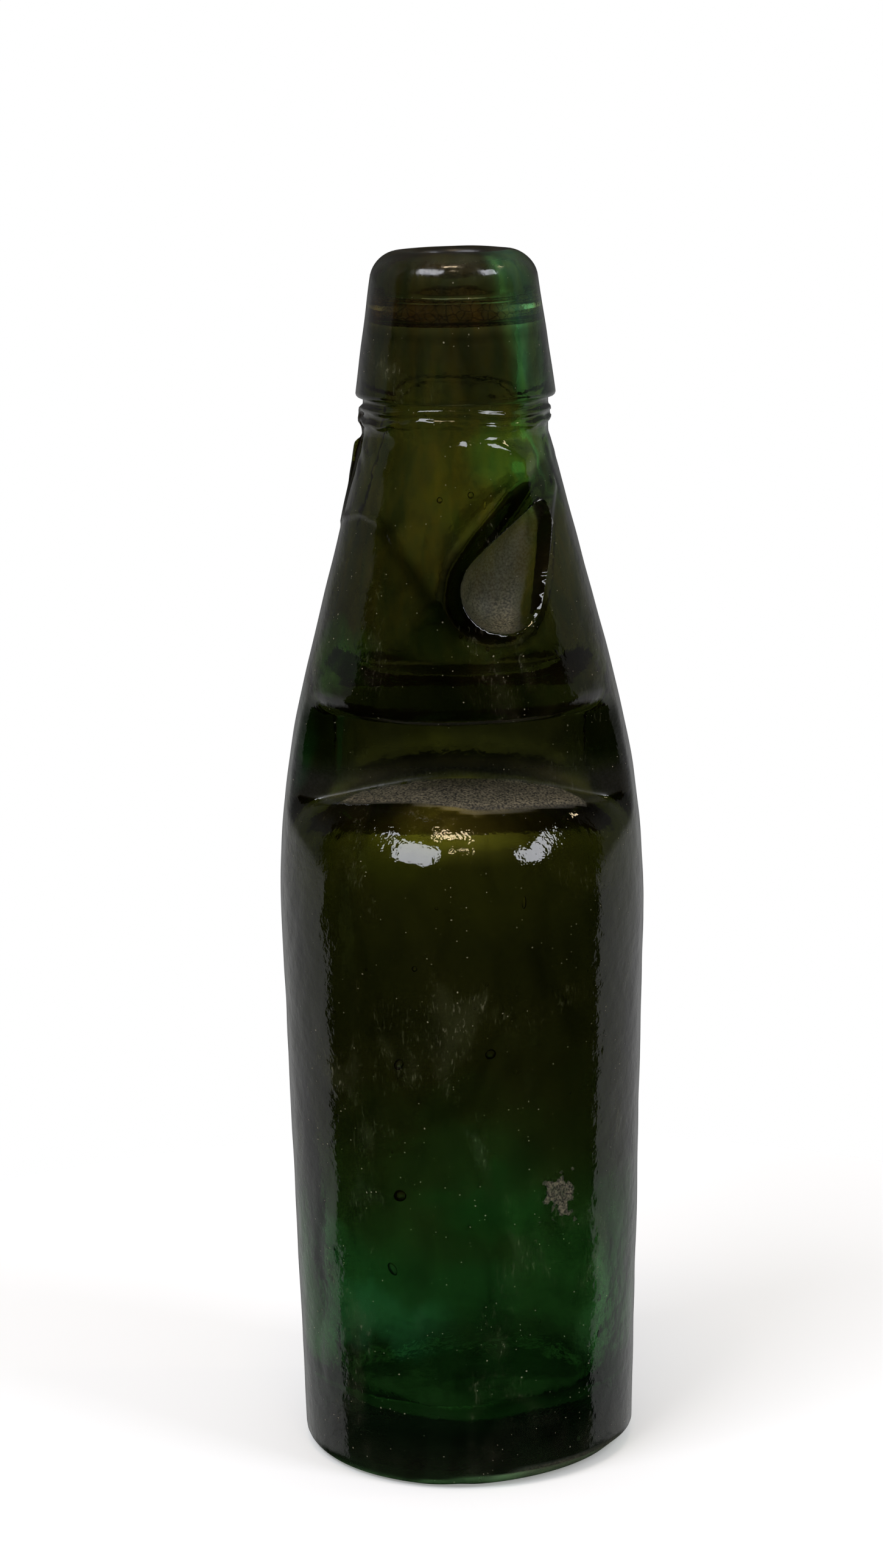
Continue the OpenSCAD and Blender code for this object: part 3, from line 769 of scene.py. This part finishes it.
def glass_gloss(tree, mm, dusty, settled, outer_side):
    """Roughness: clear low down, rubbed in fine spots on the neck and the lip, dull where worn or dusty."""
    up = add_node(tree, "SeparateXYZ", {0: mm}).outputs[2]
    rubbed = blotches(tree, mm, 0.7, 0.38, 0.66, (1, 1, 0.5))
    rubbed_by = add_node(tree, "MapRange", {0: up, 1: 161.0, 2: 168.0, 3: 0.03, 4: 0.13}).outputs[0]
    rough = add_node(tree, "Math", {0: rubbed, 1: rubbed_by, 2: 0.02}, operation="MULTIPLY_ADD").outputs[0]
    rim_worn = add_node(tree, "MapRange", {0: up, 1: 186.2, 2: 187.2, 3: 0.0, 4: 1.0}).outputs[0]
    dulled = add_node(tree, "MapRange", {0: settled, 1: 0.0, 2: 0.15, 3: 0.0, 4: 1.0}).outputs[0]
    for mask, dull in ((rim_worn, 0.3), (dusty, 0.55), (dulled, 0.6)):
        rough = add_node(tree, "Mix", {0: mask, 2: rough, 3: dull}).outputs[0]
    return add_node(tree, "Mix", {0: outer_side, 2: 0.02, 3: rough}).outputs[0]


def bottle_green_glass():
    """Blown bottle glass: dark olive, green low down, teal where two melts ran together, scuffed, dusty."""
    material, tree, mm = new_material("bottle_green_glass")
    _, back, up = add_node(tree, "SeparateXYZ", {0: mm}).outputs
    in_front = add_node(tree, "MapRange", {0: back, 1: 0.0, 2: -3.0, 3: 0.0, 4: 1.0}).outputs[0]
    swirl = add_node(tree, "TexNoise", {"Vector": mm, "Scale": 1 / 22, "Detail": 2.0, "Distortion": 1.2})
    swirl = swirl.outputs[0]

    tint = melt_tint(tree, mm, swirl)
    streak = teal_streak(tree, mm, swirl, in_front)
    tint = add_node(tree, "Mix", {0: streak, 6: tint, 7: linear("#8ed6a8")}, data_type="RGBA").outputs[2]
    threads = golden_threads(tree, mm)
    tint = add_node(tree, "VectorMath", {0: tint, 1: threads}, operation="MULTIPLY").outputs[0]
    # The tint is scaled by the melt's dark wisps and by painted light and shade.
    for shade in wisps_and_painted_shades(tree, mm, in_front):
        tint = add_node(tree, "VectorMath", {0: tint, "Scale": shade}, operation="SCALE").outputs[0]

    grime = grime_on_skin(tree, mm)
    dusty = add_node(tree, "MapRange", {0: grime, 1: 0.055, 2: 0.30, 3: 0.0, 4: 1.0}).outputs[0]
    tint = add_node(tree, "Mix", {0: dusty, 6: tint, 7: linear("#b5a88e")}, data_type="RGBA").outputs[2]
    settled = add_node(tree, "Attribute", attribute_name="settled_dust").outputs["Fac"]
    settled = add_node(tree, "Math", {0: settled, 1: dirt_patch(tree, mm)}, operation="MAXIMUM").outputs[0]
    sand, bed = sand_bed(tree, mm, settled)
    laid = add_node(tree, "MapRange", {0: settled, 1: 0.0, 2: 0.6, 3: 0.0, 4: 1.0}).outputs[0]
    tint = add_node(tree, "Mix", {0: laid, 6: tint, 7: sand}, data_type="RGBA").outputs[2]
    grime = add_node(tree, "Math", {0: grime, 1: bed}, operation="ADD").outputs[0]
    clear = add_node(tree, "Math", {0: 1.0, 1: grime}, operation="SUBTRACT", use_clamp=True).outputs[0]

    # The inner surface and the bubbles are clean and carry no tint, so that light isn't tinted twice.
    outer_side = add_node(tree, "Attribute", attribute_name="outer_side").outputs["Fac"]
    tint = add_node(tree, "Mix", {0: outer_side, 6: (1, 1, 1, 1), 7: tint}, data_type="RGBA").outputs[2]
    rough = glass_gloss(tree, mm, dusty, settled, outer_side)

    # The mould's hammered skin: dimples two or three millimetres wide and a tenth deep.
    dimples = add_node(tree, "TexNoise", {"Vector": mm, "Scale": 1 / 2.4, "Detail": 3.0, "Roughness": 0.55})
    on_body = add_node(tree, "MapRange", {0: up, 1: 120.0, 2: 150.0, 3: 1.0, 4: 0.5}).outputs[0]
    skin = add_node(tree, "Bump", {"Strength": on_body, "Distance": 0.12 * MM, "Height": dimples.outputs[0]})
    surface = add_node(tree, "BsdfPrincipled", {
        "Base Color": tint, "Roughness": rough, "IOR": 1.52, "Transmission Weight": clear,
        "Normal": skin.outputs[0],
    })
    body = add_node(tree, "VolumeAbsorption", {"Color": (0.25, 0.475, 0.2, 1), "Density": 200.0})
    add_node(tree, "OutputMaterial", {"Surface": surface.outputs[0], "Volume": body.outputs[0]})
    return material


glass.data.materials.append(bottle_green_glass())
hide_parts("bottle_body", "applied_lip")
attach(glass, "bottle")

# The rubber ring. The real one is a moulded cord of rubber, sprung into the
# groove tooled inside the lip. It has perished hard, pale and half clear.
RING_CORD_R = GROOVE_CORD_R - RING_FIT


def ring_mesh():
    """Vertices and faces of the ring: a round cord, bent to a circle."""
    n, m = 96, 20
    a = np.linspace(0, 2 * np.pi, n, endpoint=False)[:, None]
    b = np.linspace(0, 2 * np.pi, m, endpoint=False)[None, :]
    r = GROOVE_R + RING_CORD_R * np.cos(b)
    z = RING_Z + RING_CORD_R * np.sin(b)
    p = np.stack(np.broadcast_arrays(r * np.cos(a), r * np.sin(a), z), -1).reshape(-1, 3)
    f = [(i * m + j, ((i + 1) % n) * m + j, ((i + 1) % n) * m + (j + 1) % m, i * m + (j + 1) % m)
         for i in range(n) for j in range(m)]
    return p, f


ring = mesh_object("sealing_ring", *ring_mesh())


def perished_tan_rubber():
    """Old rubber gone hard, pale and half clear: a dull tan crust, cracked and darker in patches."""
    material, tree, mm = new_material("perished_tan_rubber")
    crust = blotches(tree, mm, 3.0, 0.35, 0.65)
    colour = add_node(tree, "Mix", {0: crust, 6: linear("#b39a70"), 7: linear("#e0cda2")}, data_type="RGBA")
    cracks = add_node(tree, "TexVoronoi", {"Vector": mm, "Scale": 1 / 1.3}, feature="DISTANCE_TO_EDGE")
    cracks = add_node(tree, "MapRange", {0: cracks.outputs[0], 1: 0.0, 2: 0.12, 3: 0.0, 4: 1.0}).outputs[0]
    colour = add_node(tree, "Mix", {0: cracks, 6: linear("#2a2118"), 7: colour.outputs[2]}, data_type="RGBA")
    relief = add_node(tree, "Bump", {"Strength": 0.8, "Distance": 0.12 * MM, "Height": cracks})
    rough = add_node(tree, "MapRange", {0: crust, 1: 0.0, 2: 1.0, 3: 0.62, 4: 0.9})
    surface = add_node(tree, "BsdfPrincipled", {
        "Base Color": colour.outputs[2], "Roughness": rough.outputs[0], "IOR": 1.35,
        "Transmission Weight": 0.85, "Normal": relief.outputs[0],
    })
    add_node(tree, "OutputMaterial", {"Surface": surface.outputs[0]})
    return material


ring.data.materials.append(perished_tan_rubber())
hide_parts("rubber_ring")
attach(ring, "bottle")

# The marble. The real one is a ball of pale glass, dropped in before the lip
# was wound on, too big ever to leave again.
MARBLE_LOW, MARBLE_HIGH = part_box("marble")
MARBLE_R = (MARBLE_HIGH.z - MARBLE_LOW.z) / 2 / MM
MARBLE_Z = (MARBLE_HIGH.z + MARBLE_LOW.z) / 2 / MM
# How far the ball's mesh stays inside its solid.
MARBLE_SHY = 0.02


def marble_mesh():
    """Vertices and faces of the ball, from its foot up."""
    n, m = 64, 32
    p = [(0, 0, -1)] + [(math.sin(b) * math.cos(a), math.sin(b) * math.sin(a), -math.cos(b))
                        for b in np.linspace(0, math.pi, m + 1)[1:-1]
                        for a in np.linspace(0, 2 * math.pi, n, endpoint=False)] + [(0, 0, 1)]
    f = [(0, 1 + (j + 1) % n, 1 + j) for j in range(n)]
    f += [(1 + i * n + j, 1 + i * n + (j + 1) % n, 1 + (i + 1) * n + (j + 1) % n, 1 + (i + 1) * n + j)
          for i in range(m - 2) for j in range(n)]
    top = len(p) - 1
    f += [(top, top - n + j, top - n + (j + 1) % n) for j in range(n)]
    return np.array(p) * (MARBLE_R - MARBLE_SHY) + [0, 0, MARBLE_Z], f


marble = mesh_object("marble_ball", *marble_mesh())


def pale_aqua_glass():
    """Pale bottle glass with a faint green swirl, rubbed dull in small spots by years of rolling."""
    material, tree, mm = new_material("pale_aqua_glass")
    swirl = blotches(tree, mm, 6.0, 0.35, 0.7, (1, 1, 0.5), 2.5)
    tint = add_node(tree, "Mix", {0: swirl, 6: linear("#cfe3d4"), 7: linear("#a9cdb4")}, data_type="RGBA")
    rubbed = blotches(tree, mm, 0.8, 0.6, 0.75)
    rough = add_node(tree, "MapRange", {0: rubbed, 1: 0.0, 2: 1.0, 3: 0.03, 4: 0.3})
    relief = add_node(tree, "Bump", {"Strength": 0.5, "Distance": 0.01 * MM, "Height": rubbed})
    surface = add_node(tree, "BsdfPrincipled", {
        "Base Color": tint.outputs[2], "Roughness": rough.outputs[0], "IOR": 1.52, "Transmission Weight": 1.0,
        "Normal": relief.outputs[0],
    })
    add_node(tree, "OutputMaterial", {"Surface": surface.outputs[0]})
    return material


marble.data.materials.append(pale_aqua_glass())
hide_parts("marble")
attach(marble, "stopper")

# The stand, the light and the camera. The bottle stands on a white paper roll,
# in a room that is white behind it, with a large softbox high on each side and
# three small warm lamps.
FLOOR_R = 0.16


def floor_disc():
    """Vertices and the one face of the round floor."""
    n = 96
    a = np.linspace(0, 2 * np.pi, n, endpoint=False)
    p = np.stack([np.cos(a), np.sin(a), np.zeros(n)], -1) * FLOOR_R / MM
    return p, [tuple(range(n))]


floor = mesh_object("floor", *floor_disc())


def white_paper():
    """A studio's white paper roll: matt, with a faint tooth, and seen as white as the room behind it."""
    material, tree, mm = new_material("white_paper")
    tooth = blotches(tree, mm, 0.5, 0.3, 0.7)
    shade = add_node(tree, "Mix", {0: tooth, 6: (0.88, 0.88, 0.88, 1), 7: (0.9, 0.9, 0.9, 1)},
                     data_type="RGBA")
    seen = add_node(tree, "LightPath").outputs
    seen = add_node(tree, "Math", {0: seen["Is Camera Ray"], 1: seen["Is Transmission Ray"]},
                    operation="MAXIMUM")
    seen = add_node(tree, "Math", {0: seen.outputs[0], 1: 0.22}, operation="MULTIPLY")
    surface = add_node(tree, "BsdfPrincipled", {
        "Base Color": shade.outputs[2], "Roughness": 0.9, "Specular IOR Level": 0.0,
        "Emission Color": (1, 1, 1, 1), "Emission Strength": seen.outputs[0],
    })
    add_node(tree, "OutputMaterial", {"Surface": surface.outputs[0]})
    return material


floor.data.materials.append(white_paper())
floor.visible_glossy = False

# The room is white to the camera and through the glass. Matt surfaces get 0.55 of white from it. What the
# gloss mirrors is dimmer: up to 0.4 behind the bottle, less straight behind and higher up, nothing in front.
world = bpy.data.worlds.new("studio")
bpy.context.scene.world = world
world.use_nodes = True
tree = world.node_tree
tree.nodes.clear()
way = add_node(tree, "TexCoord").outputs["Generated"]
across, back, rise = add_node(tree, "SeparateXYZ", {0: way}).outputs
turn = add_node(tree, "Math", {0: across, 1: back}, operation="ARCTAN2").outputs[0]
turn = add_node(tree, "Math", {0: turn}, operation="ABSOLUTE").outputs[0]
wider = add_node(tree, "MapRange", {0: rise, 1: -0.15, 2: 0.1, 3: 0.0, 4: 0.16}).outputs[0]
turn = add_node(tree, "Math", {0: turn, 1: wider}, operation="SUBTRACT").outputs[0]
room = add_node(tree, "MapRange", {0: turn, 1: math.radians(84.5), 2: math.radians(82), 3: 0.0, 4: 0.4})
room = room.outputs[0]
straight = add_node(tree, "MapRange", {0: turn, 1: math.radians(4), 2: math.radians(22), 3: 0.25, 4: 1.0})
below = add_node(tree, "MapRange", {0: rise, 1: -0.55, 2: -0.4, 3: 0.0, 4: 1.0})
above = add_node(tree, "MapRange", {0: rise, 1: 0.75, 2: 0.5, 3: 0.1, 4: 1.0})
fading = add_node(tree, "MapRange", {0: rise, 1: -0.18, 2: 0.06, 3: 1.0, 4: 0.34})
for part in (straight, below, above, fading):
    room = add_node(tree, "Math", {0: room, 1: part.outputs[0]}, operation="MULTIPLY").outputs[0]
seen = add_node(tree, "LightPath").outputs
level = add_node(tree, "Mix", {0: seen["Is Glossy Ray"], 2: 0.55, 3: room}).outputs[0]
white = add_node(tree, "Math", {0: seen["Is Camera Ray"], 1: seen["Is Transmission Ray"]},
                 operation="MAXIMUM").outputs[0]
level = add_node(tree, "Mix", {0: white, 2: level, 3: 1.0}).outputs[0]
sky = add_node(tree, "Background", {"Color": (1, 1, 1, 1), "Strength": level})
add_node(tree, "OutputWorld", {"Surface": sky.outputs[0]})

# The camera, placed so that the bottle's outline meets the photograph's. Its focal length is in pixels of an
# image of IMAGE_HEIGHT.
FOCAL_PIXELS = 6050
IMAGE_HEIGHT = 2576
SENSOR = 36.0
CAMERA_PITCH = math.radians(11.8)
CAMERA_YAW = math.radians(-0.303)
CAMERA_ROLL = math.radians(0.83)
CAMERA_PLACE = (0.0, -0.559, 0.2226)
camera = bpy.data.objects.new("camera", bpy.data.cameras.new("camera"))
bpy.context.scene.collection.objects.link(camera)
bpy.context.scene.camera = camera
camera.data.sensor_width = SENSOR
camera.data.lens = FOCAL_PIXELS / IMAGE_HEIGHT * SENSOR
camera.data.clip_end = 20.0
ahead = Vector((math.sin(CAMERA_YAW) * math.cos(CAMERA_PITCH), math.cos(CAMERA_YAW) * math.cos(CAMERA_PITCH),
                -math.sin(CAMERA_PITCH)))
right = Vector((math.cos(CAMERA_YAW), -math.sin(CAMERA_YAW), 0))
above = right.cross(ahead)
lean_right = right * math.cos(CAMERA_ROLL) - above * math.sin(CAMERA_ROLL)
lean_above = above * math.cos(CAMERA_ROLL) + right * math.sin(CAMERA_ROLL)
turned = Matrix((lean_right, lean_above, -ahead)).transposed().to_4x4()
camera.matrix_world = Matrix.Translation(CAMERA_PLACE) @ turned


def softbox(name, turn, rise, far, size, strength, colour="#ffffff"):
    """A rectangular lamp whose radiance is strength, aimed at the pinch, and seen mirrored in the glass."""
    light = bpy.data.lights.new(name, "AREA")
    light.shape = "RECTANGLE"
    light.size, light.size_y = size
    light.energy = strength * math.pi * size[0] * size[1]
    light.color = linear(colour)[:3]
    lamp = bpy.data.objects.new(name, light)
    bpy.context.scene.collection.objects.link(lamp)
    a, e = math.radians(turn), math.radians(rise)
    aim = Vector((0, 0, 0.1))
    lamp.location = aim + far * Vector((math.sin(a) * math.cos(e), -math.cos(a) * math.cos(e), math.sin(e)))
    lamp.rotation_mode = "QUATERNION"
    lamp.rotation_quaternion = (aim - lamp.location).to_track_quat("-Z", "Y")
    lamp.visible_camera = False
    lamp.visible_transmission = False


softbox("softbox_left", -41, 49, 1.2, (0.60, 0.36), 8.4, "#f4f6ff")
softbox("softbox_right", 57, 43, 1.2, (0.32, 0.36), 8.4, "#f4f6ff")
softbox("warm_lamp", -8, 71, 1.1, (0.30, 0.09), 15.0, "#ffe6c0")
softbox("warm_spot_low", 2, 54, 1.1, (0.10, 0.025), 15.0, "#ffe6c0")
softbox("warm_spot_right", 92, 50, 1.1, (0.05, 0.10), 15.0, "#ffe6c0")

bpy.context.scene.view_settings.view_transform = "Standard"
